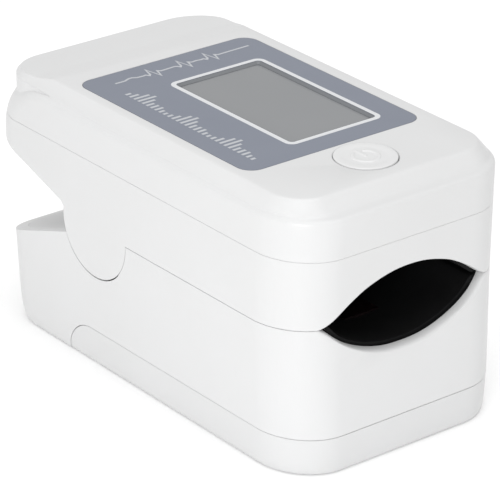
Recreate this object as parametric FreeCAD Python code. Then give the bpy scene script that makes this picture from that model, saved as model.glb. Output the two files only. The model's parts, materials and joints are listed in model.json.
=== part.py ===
"""Fingertip pulse oximeter: two spring-closed jaws on hinge pins, a display deck on top, a finger channel
in front, two AAA cells behind a slide-off cover below.

Millimetres. +X points out of the finger opening, +Y across the body, +Z up. The origin is the centre of the
bounding box's base, so the device stands on z = 0.
"""
import FreeCAD
import Part
import math
import os

V = FreeCAD.Vector
os.makedirs("parts", exist_ok=True)

# ---------------------------------------------------------------- driving dimensions
HEIGHT = 32.5            # deck above the resting plane
X_REAR, X_FRONT = -29.18, 29.18
HALF_W = 16.05           # half width at the parting plane
PARTING_Z = 17.77        # plane between upper and lower jaw
PARTING_GAP = 0.05
SEAM_Z = 25.94           # joint between top cover and upper jaw shell
SEAM_GAP = 0.016
COVER_Z = 4.57           # joint between lower shell and battery cover
COVER_GAP = 0.06
WALL = 1.40
FRONT_WALL = 1.10

PIVOT_X, PIVOT_Z = -7.60, 17.70
EAR_R = 6.00             # hinge ears, discs flush with the side walls
EAR_IN_Y = 14.00         # inner face of the ears
EAR_CLEAR = 0.05         # running gap round the ears
PIN_R = 1.00
PIN_RUN = 0.05           # running clearance of the pins in the frame
BARREL_IN_R = 5.00

TAIL_X, TAIL_Z, TAIL_SLOPE = -24.00, 22.13, 0.3072       # underside of the upper tail
LOW_X, LOW_Z, LOW_SLOPE = -23.92, 11.66, 0.3500          # top of the lower tail

DECK_REAR, DECK_REAR_R, DECK_BASE = -27.75, 5.7, 31.06     # rear wall of the raised deck, its corners, foot of the bevel
TAIL_DROP = 0.57         # the deck behind the label is this much lower
SCOOP_X0, SCOOP_X1 = -17.60, -20.60

LABEL = (-15.20, 16.56, -12.86, 12.22)                   # x0, x1, y0, y1
LABEL_R = 1.9
LABEL_T = 0.20
FRAME = (-8.85, 13.55, -4.55, 9.05)                      # printed frame round the window, outer edge
FRAME_W = 0.60
LENS_RECESS = 0.30

BUTTON_X, BUTTON_Y = 20.72, 0.26
BUTTON_HOLE_R, BUTTON_R = 3.66, 3.54
BUTTON_TRAVEL = 0.30

CELL_R, CELL_LEN = 5.20, 43.50                           # AAA can; nipple makes 44.5 long
CELL_Y, CELL_Z, CELL_X0 = 5.45, 6.42, -19.40
BAY_HALF, BAY_X0, BAY_X1 = 11.10, -22.00, 27.20
BAY_ROOF = 11.80
ROOF_TOP = 12.50

CHANNEL_X0 = 0.60        # inner end of the finger channel
PAD_X0 = -1.20


# ---------------------------------------------------------------- helpers
def arc_edge(cx, cy, rx, ry, a0, a1, z):
    """Quarter of an ellipse in the plane z, from angle a0 to a1 in degrees."""
    if abs(rx - ry) < 1e-9:
        curve = Part.Circle(V(cx, cy, z), V(0, 0, 1), rx)
        return curve.toShape(math.radians(a0), math.radians(a1))
    if rx > ry:
        curve = Part.Ellipse(V(cx, cy, z), rx, ry)
        return curve.toShape(math.radians(a0), math.radians(a1))
    curve = Part.Ellipse(V(cx, cy + ry, z), V(cx - rx, cy, z), V(cx, cy, z))
    return curve.toShape(math.radians(a0 - 90), math.radians(a1 - 90))


def ring(z, xr, xf, hw, rr, rx, ry):
    """Closed plan outline: rear corners of radius rr, front corners of half axes rx along X and ry along Y."""
    e = [
        Part.makeLine(V(xr + rr, -hw, z), V(xf - rx, -hw, z)),
        arc_edge(xf - rx, -hw + ry, rx, ry, 270, 360, z),
        Part.makeLine(V(xf, -hw + ry, z), V(xf, hw - ry, z)),
        arc_edge(xf - rx, hw - ry, rx, ry, 0, 90, z),
        Part.makeLine(V(xf - rx, hw, z), V(xr + rr, hw, z)),
        arc_edge(xr + rr, hw - rr, rr, rr, 90, 180, z),
        Part.makeLine(V(xr, hw - rr, z), V(xr, -hw + rr, z)),
        arc_edge(xr + rr, -hw + rr, rr, rr, 180, 270, z),
    ]
    return Part.Wire(e)


def loft(sections):
    """Solid through the plan outlines, with straight walls between one outline and the next."""
    return Part.makeLoft([ring(*s) for s in sections], True, True).Solids[0]


def smooth(table, z):
    """Row of the table at height z, by monotone cubic interpolation of each column."""
    n = len(table)
    i = max(0, min(n - 2, sum(1 for r in table if r[0] <= z) - 1))
    out = [z]
    for c in range(1, len(table[0])):
        d = [(table[k + 1][c] - table[k][c]) / (table[k + 1][0] - table[k][0]) for k in range(n - 1)]
        m = [d[0]] + [0.0 if d[k - 1] * d[k] <= 0 else 2 * d[k - 1] * d[k] / (d[k - 1] + d[k]) for k in range(1, n - 1)] + [d[-1]]
        h = table[i + 1][0] - table[i][0]
        t = (z - table[i][0]) / h
        a, b = table[i][c], table[i + 1][c]
        out.append(a * (2 * t**3 - 3 * t**2 + 1) + h * m[i] * (t**3 - 2 * t**2 + t) + b * (3 * t**2 - 2 * t**3)
                   + h * m[i + 1] * (t**3 - t**2))
    return out


def inset(sections, d, df=None):
    """The same sections moved inwards by d, and by df at the front."""
    df = d if df is None else df
    return [(z, xr + d, xf - df, hw - d, max(rr - d, 0.8), max(rx - df, 0.8), max(ry - d, 0.8))
            for z, xr, xf, hw, rr, rx, ry in sections]


def box(x0, x1, y0, y1, z0, z1):
    return Part.makeBox(x1 - x0, y1 - y0, z1 - z0, V(x0, y0, z0))


def rbox(x0, x1, y0, y1, z0, z1, r):
    """Box with vertical edges rounded to r."""
    b = box(x0, x1, y0, y1, z0, z1)
    es = [e for e in b.Edges if abs(e.tangentAt(e.FirstParameter).z) > 0.99]
    return b.makeFillet(r, es)


def cyl(x, y, z0, z1, r):
    return Part.makeCylinder(r, z1 - z0, V(x, y, z0), V(0, 0, 1))


def ycyl(x, z, y0, y1, r):
    return Part.makeCylinder(r, y1 - y0, V(x, y0, z), V(0, 1, 0))


def xcyl(y, z, x0, x1, r):
    return Part.makeCylinder(r, x1 - x0, V(x0, y, z), V(1, 0, 0))


def xz_prism(points, y0, y1):
    """Prism along Y with a straight-sided outline given as (x, z) points."""
    ps = [V(x, y0, z) for x, z in points]
    face = Part.Face(Part.makePolygon(ps + [ps[0]]))
    return face.extrude(V(0, y1 - y0, 0))


def both(shape):
    """The shape and its mirror image across the XZ plane."""
    return [shape, shape.mirror(V(0, 0, 0), V(0, 1, 0))]


def fuse(shapes):
    out = shapes[0]
    for s in shapes[1:]:
        out = out.fuse(s)
    return out.removeSplitter()


def soften(shape, r, pick):
    """Rounds the edges that pick(edge) chooses; where the full radius has no room, a smaller one is used."""
    es = [e for e in shape.Edges if pick(e)]
    for k in (1.0, 0.7, 0.45, 0.25):
        try:
            out = shape.makeFillet(r * k, es)
            if out.isValid() and out.Volume > 0 and abs(out.Volume - shape.Volume) < 0.2 * shape.Volume:
                return out
        except Exception:
            continue
    print("no rounding", r, len(es))
    return shape


def save(name, shape):
    solids = [s for s in shape.Solids if s.Volume > 1e-3]
    out = solids[0] if len(solids) == 1 else Part.makeCompound(solids)
    ok = all(s.isValid() for s in solids)
    b = out.optimalBoundingBox(True, False)
    print("%-26s solids %d valid %s vol %9.1f  x %.2f..%.2f y %.2f..%.2f z %.2f..%.2f" % (
        name, len(solids), ok, out.Volume, b.XMin, b.XMax, b.YMin, b.YMax, b.ZMin, b.ZMax))
    out.exportStep("parts/%s.step" % name)
    return out


def tail_z(x):
    return TAIL_Z - (x - TAIL_X) * TAIL_SLOPE


def low_z(x):
    return LOW_Z + (x - LOW_X) * LOW_SLOPE


# ---------------------------------------------------------------- outer forms
FX, FY = 7.3, 6.5        # front corner half axes


def xf_up(z):
    return 28.61 + (z - PARTING_Z) * (28.95 - 28.61) / (30.68 - PARTING_Z)


def hw_up(z):
    return HALF_W - (z - PARTING_Z) * 0.20 / (30.68 - PARTING_Z)


UP_REAR = [  # z, rear x, rear corner radius: a nose that bulges at z 25 and rounds in under the deck
    (PARTING_Z + PARTING_GAP / 2, -28.96, 5.7), (21.0, -29.05, 5.7), (23.0, -29.13, 5.7), (24.7, X_REAR, 5.7),
    (25.8, -29.08, 5.9), (27.06, -28.84, 6.3), (28.08, -28.48, 6.9), (28.97, -28.0, 7.5), (29.88, -27.3, 8.4),
    (30.80, -26.2, 9.6)]
UP = []
for z in (PARTING_Z + PARTING_GAP / 2, 21.0, 23.0, 24.0, 24.7, 25.3, 25.9, 26.5, 27.1, 27.7, 28.2, 28.7, 29.2, 29.7, 30.3):
    z, xr, rr = smooth(UP_REAR, z)
    UP.append((z, xr, xf_up(z), hw_up(z), rr, FX, FY))
# shoulder, sloping ledge, hollow and bevel of the raised deck: z, half width, front x, front corner half axes
CAP = [(30.48, 15.800, 28.885, 7.24, 6.44), (30.62, 15.680, 28.75, 7.10, 6.30), (30.71, 15.540, 28.50, 6.85, 6.10),
       (30.77, 15.430, 28.18, 6.50, 5.85), (30.83, 15.370, 27.88, 6.10, 5.60), (30.92, 15.315, 27.62, 5.70, 5.30),
       (DECK_BASE, 15.26, 27.40, 5.30, 5.00), (32.20, 14.30, 26.38, 4.30, 4.05), (32.36, 14.15, 26.22, 4.12, 3.90),
       (32.45, 14.00, 26.06, 3.95, 3.75), (HEIGHT, 13.80, 25.86, 3.75, 3.55)]
CAP_REAR = {DECK_BASE: (DECK_REAR, DECK_REAR_R), 32.20: (DECK_REAR + 1.06, 4.8), 32.36: (DECK_REAR + 1.21, 4.65),
            32.45: (DECK_REAR + 1.36, 4.5), HEIGHT: (DECK_REAR + 1.56, 4.3)}
for z, hw, xf, rx, ry in CAP:
    if z in CAP_REAR:
        xr, rr = CAP_REAR[z]
    else:
        xr, rr = smooth(UP_REAR, z)[1:]
        xr, rr = xr + 0.3 * (z - 30.3), rr
    UP.append((z, xr, xf, hw, rr, rx, ry))
upper_body = loft(UP)
# the deck's own wall, seen only at the rear corners
deck = loft([(27.5, DECK_REAR, 27.40, 15.26, DECK_REAR_R, 5.30, 5.00),
             (DECK_BASE, DECK_REAR, 27.40, 15.26, DECK_REAR_R, 5.30, 5.00)])
upper_outer = upper_body.fuse(deck)

# the deck behind the label is scooped lower, with a soft hollow where it starts
sx0, sx1, zt = SCOOP_X0, SCOOP_X1, HEIGHT - TAIL_DROP
curve = Part.BSplineCurve()
curve.interpolate([V(sx0 + 2.2, 0, HEIGHT + 0.06), V(sx0, 0, HEIGHT - 0.03), V((sx0 + sx1) / 2, 0, HEIGHT - 0.27),
                   V(sx1, 0, zt + 0.01), V(sx1 - 2.0, 0, zt - 0.10), V(-25.0, 0, zt - 0.32), V(-31.0, 0, zt - 0.86)])
scoop_wire = Part.Wire([curve.toShape(), Part.makeLine(V(-31.0, 0, zt - 0.86), V(-31.0, 0, HEIGHT + 2)),
                        Part.makeLine(V(-31.0, 0, HEIGHT + 2), V(sx0 + 2.2, 0, HEIGHT + 2)),
                        Part.makeLine(V(sx0 + 2.2, 0, HEIGHT + 2), V(sx0 + 2.2, 0, HEIGHT + 0.06))])
scoop = Part.Face(scoop_wire).extrude(V(0, 40, 0))
scoop.translate(V(0, -20, 0))
upper_outer = upper_outer.cut(scoop)
upper_outer = upper_outer.Solids[0]


def xf_low(z):
    return 29.18 - (z - COVER_Z) * (29.18 - 28.61) / (PARTING_Z - COVER_Z)


def hw_low(z):
    return 15.71 + (z - COVER_Z) * (HALF_W - 15.71) / (PARTING_Z - COVER_Z)


ztop = PARTING_Z - PARTING_GAP / 2
BOTTOM = [(0.0, -24.1, 28.62, 15.02, 4.0, 6.9, 6.1), (0.07, -24.6, 28.80, 15.20, 4.2, 7.0, 6.2),
          (0.22, -25.05, 28.94, 15.34, 4.4, 7.1, 6.3), (0.5, -25.5, 29.04, 15.45, 4.6, 7.2, 6.4),
          (0.9, -25.85, 29.09, 15.53, 4.7, 7.2, 6.4), (1.5, -26.15, 29.12, 15.60, 4.8, 7.3, 6.5),
          (2.2, -26.38, 29.14, 15.64, 4.9, 7.3, 6.5), (3.2, -26.56, 29.16, 15.68, 5.0, 7.3, 6.5)]
LOW = BOTTOM + [(COVER_Z, -26.70, X_FRONT, hw_low(COVER_Z), 5.0, 7.3, 6.5),
                (10.7, -27.06, xf_low(10.7), hw_low(10.7), 5.0, 7.3, 6.5),
                (ztop, -27.40, xf_low(ztop), hw_low(ztop), 5.0, 7.3, 6.5)]
lower_outer = loft(LOW)


# ---------------------------------------------------------------- finger opening
# half profiles |y|, z of the lens-shaped mouth: at the front surface, and behind the rounded lip
UP_OUT = [(0, 22.58), (0.95, 22.56), (2.5, 22.38), (4.3, 21.96), (6.04, 21.38), (7.8, 20.50), (9.4, 19.52), (10.16, 18.98),
          (10.88, 18.48), (11.55, 18.10), (12.16, 17.86), (12.6, PARTING_Z)]
UP_LIP = [(0, 22.53), (2.5, 22.33), (4.3, 21.90), (6.0, 21.30), (7.5, 20.52), (8.8, 19.72), (9.8, 19.02), (10.6, 18.42),
          (11.2, 18.02), (11.7, PARTING_Z)]
UP_PAD = [(0, 22.66), (2.5, 22.4), (4.3, 21.9), (6.0, 21.2), (7.5, 20.3), (8.8, 19.3), (9.8, 18.5), (10.6, 17.95), (10.9, PARTING_Z)]
DOWN_OUT = [(0, 12.42), (2.0, 12.52), (3.5, 12.78), (4.93, 13.17), (5.8, 13.50), (6.66, 13.90), (7.52, 14.36), (8.39, 14.86),
            (9.25, 15.42), (10.09, 16.00), (10.84, 16.58), (11.53, 17.12), (12.16, 17.52), (12.6, PARTING_Z)]
DOWN_LIP = [(0, 12.92), (1.3, 12.95), (2.2, 13.03), (3.0, 13.14), (3.9, 13.33), (4.8, 13.58), (5.64, 13.86), (6.5, 14.20),
            (7.4, 14.62), (8.25, 15.08), (9.1, 15.66), (9.97, 16.36), (10.7, 17.02), (11.25, 17.45), (11.7, PARTING_Z)]
DOWN_PAD = [(0, 13.22), (1.27, 13.26), (2.14, 13.37), (3.02, 13.50), (3.89, 13.70), (4.76, 13.95), (5.64, 14.25), (6.51, 14.60),
            (7.38, 15.03), (8.25, 15.56), (9.11, 16.25), (9.97, 17.2), (10.45, 17.6), (10.9, PARTING_Z)]
LIP_DEPTH = 1.12         # the lip rounds in over this depth


def half(table, tip, u):
    """Point of a half profile at the fraction u of its half width, from 0 in the middle to 1 at the tip."""
    y = min(tip * u, tip)
    return y, smooth(table, y)[1]


def mouth_wire(mix, xs, up=UP_LIP, down=DOWN_LIP, tip=11.7):
    """Closed outline, mixed from the inner profile (0) to the outer one (1). xs gives x at (y, z)."""
    edges = []
    for inner, outer in ((up, UP_OUT), (down, DOWN_OUT)):
        pts = []
        n = 12
        for k in range(-n, n + 1):
            u = math.sin(math.pi / 2 * abs(k) / n)
            yi, zi = half(inner, tip, u)
            yo, zo = half(outer, 12.6, u)
            y = (yi + (yo - yi) * mix) * (1 if k >= 0 else -1)
            z = zi + (zo - zi) * mix
            pts.append(V(xs(y, z), y, z))
        c = Part.BSplineCurve()
        c.interpolate(pts)
        edges.append(c.toShape())
    return Part.Wire(edges)


def front_x(y, z):
    """Front surface of the closed jaws."""
    xf = xf_up(z) if z > PARTING_Z else xf_low(z)
    t = max(0.0, (abs(y) - (HALF_W - FY)) / FY)
    return xf - FX * (1 - math.sqrt(max(0.0, 1 - t * t)))


eye = Part.Face(mouth_wire(0.0, lambda y, z: CHANNEL_X0, UP_PAD, DOWN_PAD, 10.9)).extrude(V(34.0 - CHANNEL_X0, 0, 0))
rows = [mouth_wire(0.0, lambda y, z: 22.0), mouth_wire(0.0, lambda y, z: front_x(y, z) - LIP_DEPTH)]
for d in (0.80, 0.52, 0.30, 0.14, 0.04):
    m = 1 - math.sqrt(1 - (1 - d / LIP_DEPTH) ** 2)
    rows.append(mouth_wire(m, lambda y, z, d=d: front_x(y, z) - d))
rows += [mouth_wire(1.0, lambda y, z: front_x(y, z) + 0.02), mouth_wire(1.06, lambda y, z: 31.0)]
mouth = Part.makeLoft(rows, True, True).Solids[0]

# ---------------------------------------------------------------- slabs and cutters
seam_top = box(-40, 40, -30, 30, SEAM_Z + SEAM_GAP / 2, 50)
seam_low = box(-40, 40, -30, 30, -5, SEAM_Z - SEAM_GAP / 2)

# everything below the upper tail's underside, behind the ears
tail_cut = xz_prism([(-40, tail_z(-40)), (-14.1, tail_z(-14.1)), (-13.55, tail_z(-14.1) - 0.55), (-13.55, 17.0),
                     (-7.6, 10.0), (-40, 0)], -20, 20)
ear_disc = ycyl(PIVOT_X, PIVOT_Z, -20, 20, EAR_R)
tail_cut = tail_cut.cut(ear_disc)

# ---------------------------------------------------------------- top cover
inner_up = loft(inset([s for s in UP if 24 <= s[0] < 29.3], WALL, FRONT_WALL + 0.3))
deck_room = rbox(-25.6, 25.2, -13.0, 13.0, 28.5, 30.90, 3.0)
cover = upper_outer.common(seam_top)
cover = cover.cut(inner_up.fuse(deck_room))
lx0, lx1, ly0, ly1 = LABEL
fx0, fx1, fy0, fy1 = FRAME
cover = cover.cut(rbox(lx0 - 0.06, lx1 + 0.06, ly0 - 0.06, ly1 + 0.06, HEIGHT - LABEL_T - 0.02, HEIGHT + 1, LABEL_R + 0.06))
wx0, wx1, wy0, wy1 = fx0 + FRAME_W, fx1 - FRAME_W, fy0 + FRAME_W, fy1 - FRAME_W
cover = cover.cut(rbox(wx0 - 0.1, wx1 + 0.1, wy0 - 0.1, wy1 + 0.1, 30, HEIGHT + 1, 0.7))
cover = cover.cut(cyl(BUTTON_X, BUTTON_Y, 29, HEIGHT + 1, BUTTON_HOLE_R))
SCREW_UP = [(23.2, 11.5), (23.2, -11.5), (-20.5, 9.5), (-20.5, -9.5)]
for x, y in SCREW_UP:
    z0 = 24.70 if x > 0 else 23.9
    cover = cover.fuse(cyl(x, y, z0 + 0.02, 30.0 if x > 0 else 31.2, 1.9).common(upper_outer))
for x, y in SCREW_UP:
    cover = cover.cut(cyl(x, y, 22, 29.4, 0.80))
cover = cover.cut(cyl(BUTTON_X, BUTTON_Y, 29, 30.9, 4.75))
cover = soften(cover, 0.22, lambda e: e.BoundBox.ZMin > HEIGHT - 0.01 and abs(e.BoundBox.XLength - 2 * BUTTON_HOLE_R) < 0.02)
top_cover = save("top_cover", cover.removeSplitter())

# ---------------------------------------------------------------- display label, window, module
label = rbox(lx0, lx1, ly0, ly1, HEIGHT - LABEL_T, HEIGHT, LABEL_R)
label = label.cut(rbox(wx0, wx1, wy0, wy1, HEIGHT - 1, HEIGHT + 1, 0.6))
save("display_label", label)
save("display_window", rbox(wx0 + 0.02, wx1 - 0.02, wy0 + 0.02, wy1 - 0.02, 30.95, HEIGHT - LENS_RECESS, 0.6))
cx, cy = (wx0 + wx1) / 2, (wy0 + wy1) / 2
mod = box(cx - 13.3, cx + 13.3, cy - 9.0, cy + 9.0, 29.30, 30.85)
save("display_module", mod)
hold = box(cx - 13.6, cx + 13.6, cy - 9.3, cy + 9.3, 27.60, 30.20).cut(box(cx - 12.0, cx + 12.0, cy - 7.8, cy + 7.8, 27, 31))
hold = hold.cut(box(cx - 13.32, cx + 13.32, cy - 9.02, cy + 9.02, 29.28, 31))
save("display_holder", hold)

# ---------------------------------------------------------------- circuit board and what it carries
board = rbox(-25.0, 26.0, -13.2, 13.2, 26.60, 27.60, 4.0)
for x, y in SCREW_UP:
    board = board.cut(cyl(x, y, 26, 28, 2.05))
save("main_circuit_board", board)
chips = [box(2, 9, -3.5, 3.5, 25.55, 26.60), box(-8, -3, -9, -4, 25.65, 26.60), box(12, 16, 4, 8, 25.65, 26.60),
         box(-6, -3, 4, 7, 25.75, 26.60), box(13, 17, -9, -6.4, 25.75, 26.60)]
for i in range(6):
    chips.append(box(18.5 + 0.0, 20.1, -5 + 1.9 * i, -4.1 + 1.9 * i, 26.05, 26.60))
save("circuit_chips", Part.makeCompound(chips))
save("buzzer", fuse([cyl(-15.5, 0, 24.75, 26.60, 4.5)]).cut(cyl(-15.5, 0, 24.0, 25.2, 0.9)))
sw = box(BUTTON_X - 2.6, BUTTON_X + 2.6, BUTTON_Y - 2.6, BUTTON_Y + 2.6, 27.60, 29.20)
save("tact_switch", fuse([sw, cyl(BUTTON_X, BUTTON_Y, 29.15, 29.50, 1.4)]))

# ---------------------------------------------------------------- power button
cap = cyl(BUTTON_X, BUTTON_Y, 30.50, HEIGHT + 0.02, BUTTON_R)
cap = soften(cap, 0.28, lambda e: e.BoundBox.ZMin > HEIGHT - 0.1)
cap = fuse([cap, cyl(BUTTON_X, BUTTON_Y, 30.20, 30.80, 4.40), cyl(BUTTON_X, BUTTON_Y, 29.84, 30.30, 1.5)])
symbol = cyl(BUTTON_X, BUTTON_Y, HEIGHT, HEIGHT + 0.12, 1.72).cut(cyl(BUTTON_X, BUTTON_Y, HEIGHT - 1, HEIGHT + 1, 1.34))
symbol = symbol.cut(box(BUTTON_X - 2.5, BUTTON_X, BUTTON_Y - 0.62, BUTTON_Y + 0.62, HEIGHT - 1, HEIGHT + 1))
bar = box(BUTTON_X - 1.95, BUTTON_X - 0.15, BUTTON_Y - 0.19, BUTTON_Y + 0.19, HEIGHT, HEIGHT + 0.12)
cap = fuse([cap, symbol, bar])
save("power_button", cap)

# ---------------------------------------------------------------- upper jaw shell
PLATE_Z0, PLATE_Z1 = 23.60, 24.60
shell = upper_outer.common(seam_low).cut(tail_cut)
in_full = loft(inset([(15.0, -28.9, 28.55, HALF_W + 0.02, 5.7, FX, FY)] + [s for s in UP if 20 < s[0] < 28], WALL, FRONT_WALL))
front_low = in_full.common(box(-1.0, 30, -20, 20, 10, PLATE_Z0))
front_top = in_full.common(box(-3.5, 30, -20, 20, PLATE_Z1, 27))
rear_room = in_full.common(xz_prism([(-30, tail_z(-30) + 1.35), (-13.0, tail_z(-13.0) + 1.35), (-9.0, 10), (-1.0, 10),
                                     (-1.0, PLATE_Z0), (-3.5, PLATE_Z0), (-3.5, 27), (-30, 27)], -20, 20))
shell = shell.cut(front_low).cut(front_top).cut(rear_room)
# hinge ears: full discs that hang below the parting plane
ear_form = loft([(8.0, -27.0, 29.0, hw_low(8.0), 5, FX, FY), (PARTING_Z, -27.4, 28.61, HALF_W, 5, FX, FY),
                 (26.0, -27.4, 28.7, hw_up(26.0), 5, FX, FY)])
ears = both(ycyl(PIVOT_X, PIVOT_Z, EAR_IN_Y, 18, EAR_R).common(ear_form))
# barrel wall that closes the back of the hinge at every angle
barrel = ycyl(PIVOT_X, PIVOT_Z, -14.3, 14.3, EAR_R).cut(ycyl(PIVOT_X, PIVOT_Z, -15, 15, BARREL_IN_R))
a0, a1 = math.radians(148), math.radians(206)
sector = xz_prism([(PIVOT_X, PIVOT_Z), (PIVOT_X + 12 * math.cos(a0), PIVOT_Z + 12 * math.sin(a0)),
                   (PIVOT_X + 14 * math.cos((a0 + a1) / 2), PIVOT_Z + 14 * math.sin((a0 + a1) / 2)),
                   (PIVOT_X + 12 * math.cos(a1), PIVOT_Z + 12 * math.sin(a1))], -15, 15)
barrel = barrel.common(sector)
shell = shell.fuse([barrel] + ears)
# ribs that the springs push on
shell = shell.fuse([box(-3.5, -1.0, y - 1.6, y + 1.6, 22.6, PLATE_Z1) for y in (-10.4, 10.4)])
shell = shell.cut(mouth)
# blind pin seats in the ears
shell = shell.cut(ycyl(PIVOT_X, PIVOT_Z, 13, 15.20, PIN_R)).cut(ycyl(PIVOT_X, PIVOT_Z, -15.20, -13, PIN_R))
# screw holes, counterbored
for x, y in SCREW_UP:
    if x > 0:
        shell = shell.cut(cyl(x, y, 20, 26, 0.90)).cut(cyl(x, y, 20, 24.15, 1.60))
    else:
        shell = shell.fuse(cyl(x, y, tail_z(x) - 0.2, 23.85, 2.3).common(xz_prism(
            [(-40, tail_z(-40)), (0, tail_z(0)), (0, 40), (-40, 40)], -20, 20)))
        shell = shell.cut(cyl(x, y, 15, 26, 0.90)).cut(cyl(x, y, 15, tail_z(x) + 1.35, 1.60))
# opening in the plate for the light board, and a slot for the flat cable
shell = shell.cut(box(11.0, 23.0, -4.6, 4.6, 22, 26)).cut(box(-4.5, -1.6, -3.6, 3.6, 22, 26))
shell = shell.removeSplitter()
upper_jaw_shell = save("upper_jaw_shell", shell)

# ---------------------------------------------------------------- upper finger pad and light source
pad_in = loft(inset([(12.0, -28.9, 28.55, HALF_W, 5.7, FX, FY), (26.0, -28.9, 28.8, HALF_W - 0.1, 5.7, FX, FY)],
                    WALL + 0.06, FRONT_WALL + 0.04))
pad = pad_in.common(box(PAD_X0 + 0.4, 30, -20, 20, PARTING_Z + 0.20, PLATE_Z0 - 0.02)).cut(eye)
pad = pad.cut(box(12.98, 21.02, -2.52, 2.52, 22.0, 25)).cut(box(11.4, 22.6, -4.2, 4.2, 23.30, 25))
upper_pad = save("upper_finger_pad", pad.removeSplitter())
save("emitter_window", box(13.0, 21.0, -2.5, 2.5, 22.42, 23.26))
save("emitter_board", box(11.5, 22.5, -4.1, 4.1, 23.62, 24.42))
save("light_emitters", Part.makeCompound([box(15.2, 16.6, -0.8, 0.8, 23.30, 23.62), box(17.4, 18.8, -0.8, 0.8, 23.30, 23.62)]))

# ---------------------------------------------------------------- screws
def screw(x, y, z_head, z_tip, r_head, h_head, r):
    head = cyl(x, y, z_head, z_head + h_head, r_head) if z_tip > z_head else cyl(x, y, z_head - h_head, z_head, r_head)
    s = head.fuse(cyl(x, y, min(z_head, z_tip), max(z_head, z_tip), r))
    zc = z_head if z_tip > z_head else z_head - 0.35
    for a in (0, 90):
        slot = box(-0.95 * r_head * 0.8, 0.95 * r_head * 0.8, -0.16, 0.16, zc, zc + 0.35)
        slot.rotate(V(0, 0, 0), V(0, 0, 1), a)
        slot.translate(V(x, y, 0))
        s = s.cut(slot)
    return s.removeSplitter()


save("cover_screws", Part.makeCompound(
    [screw(x, y, 23.62 if x > 0 else tail_z(x) + 0.55, 28.8, 1.5, 0.5 if x > 0 else 0.75, 0.78) for x, y in SCREW_UP]))

# ---------------------------------------------------------------- battery cover

def cover_region(gap):
    """XZ region of the cover: a rounded rear corner, then level along the sides."""
    top = COVER_Z - COVER_GAP / 2 + gap
    rx = 4.50 + gap
    pts = [V(-8.80 - rx * math.cos(t), 0, top * math.sin(t)) for t in [math.radians(a) for a in range(0, 91, 10)]]
    c = Part.BSplineCurve()
    c.interpolate(pts)
    w = Part.Wire([Part.makeLine(V(-8.80 - rx, 0, -2), pts[0]), c.toShape(), Part.makeLine(pts[-1], V(40, 0, top)),
                   Part.makeLine(V(40, 0, top), V(40, 0, -2)), Part.makeLine(V(40, 0, -2), V(-8.80 - rx, 0, -2))])
    f = Part.Face(w).extrude(V(0, 44, 0))
    f.translate(V(0, -22, 0))
    return f


cov_out = loft([(z, xr, xf, hw - 0.05, rr, rx, ry) for z, xr, xf, hw, rr, rx, ry in LOW[:len(BOTTOM) + 1]])
region = cover_region(0.0)
bat = cov_out.common(region)
tray = loft(inset([(1.05, -25.0, 29.0, 15.5, 5, 7.3, 6.5), (6.0, -26.7, 29.18, 15.66, 5, 7.3, 6.5)], 1.35))
bat = bat.cut(tray)
# finger grip bars under the cover
for i in range(5):
    bat = bat.cut(rbox(-6.0 + 2.2 * i, -5.1 + 2.2 * i, -5.0, 5.0, -0.5, 0.25, 0.4))
save("battery_cover", bat.removeSplitter())

# ---------------------------------------------------------------- lower jaw shell
above_tail = xz_prism([(-40, low_z(-40)), (-12.0, low_z(-12.0)), (-12.0, 40), (-40, 40)], -20, 20)
low = lower_outer.cut(above_tail).cut(cover_region(COVER_GAP))
for s in (1, -1):
    y0, y1 = sorted((s * 13.70, s * 20))
    low = low.cut(ycyl(PIVOT_X, PIVOT_Z, y0, y1, EAR_R + EAR_CLEAR))
    # the gap opens to a thin crescent under the ear
    low = low.cut(ycyl(PIVOT_X + 0.03, PIVOT_Z - 0.09, y0, y1, EAR_R + EAR_CLEAR).common(
        box(-16, PIVOT_X + 4.5, y0, y1, 10, PIVOT_Z - 1.0)))
inner_low = loft(inset([(ROOF_TOP, -27.1, 28.83, 15.92, 5, FX, FY), (20.0, -27.5, 28.52, 16.1, 5, FX, FY)], WALL, FRONT_WALL))
# room for frame and pad, above the battery bay
low = low.cut(inner_low.common(box(-13.0, 40, -20, 20, ROOF_TOP, 20)))
# barrel sweeps here when the jaws open
low = low.cut(ycyl(PIVOT_X, PIVOT_Z, -14.5, 14.5, EAR_R + EAR_CLEAR).common(box(-20, 0, -20, 20, ROOF_TOP, 30)))
# hollow of the lower tail, under the rear panel
TAIL_ROOM = [(1.0, -25.7, 28.8, 15.5, 4.7, 7, 6), (4.6, -26.7, 29.0, 15.71, 5, 7, 6), (20.0, -27.4, 29.0, 16.0, 5, 7, 6)]
tail_room = loft(inset(TAIL_ROOM, WALL))
tail_room = tail_room.common(box(-30, -13.3, -20, 20, 1.0, 20))
low = low.cut(tail_room)
# battery bay, open below
low = low.cut(rbox(BAY_X0, BAY_X1, -BAY_HALF, BAY_HALF, 1.0, BAY_ROOF, 0.8))
low = low.cut(box(-13.3, BAY_X1, -BAY_HALF, BAY_HALF, -1, 5))
# side hollows between bay walls and outer walls
for s in (1, -1):
    y0, y1 = sorted((s * 12.2, s * 14.35))
    low = low.cut(box(-1.0, 22.5, y0, y1, 1.0, 11.4))
# bay wall reaches down to the cover plate
skirt_out = rbox(-13.0, BAY_X1 + 0.0, -12.2, 12.2, 1.25, 8.0, 0.8).cut(box(-14, BAY_X1 + 1, -BAY_HALF, BAY_HALF, 0, 9))
skirt_out = skirt_out.common(loft(inset([(1.05, -25.0, 29.0, 15.5, 5, 7.3, 6.5), (9.0, -26.7, 29.0, 15.5, 5, 7.3, 6.5)], 1.75)))
low = low.fuse(skirt_out)
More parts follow.
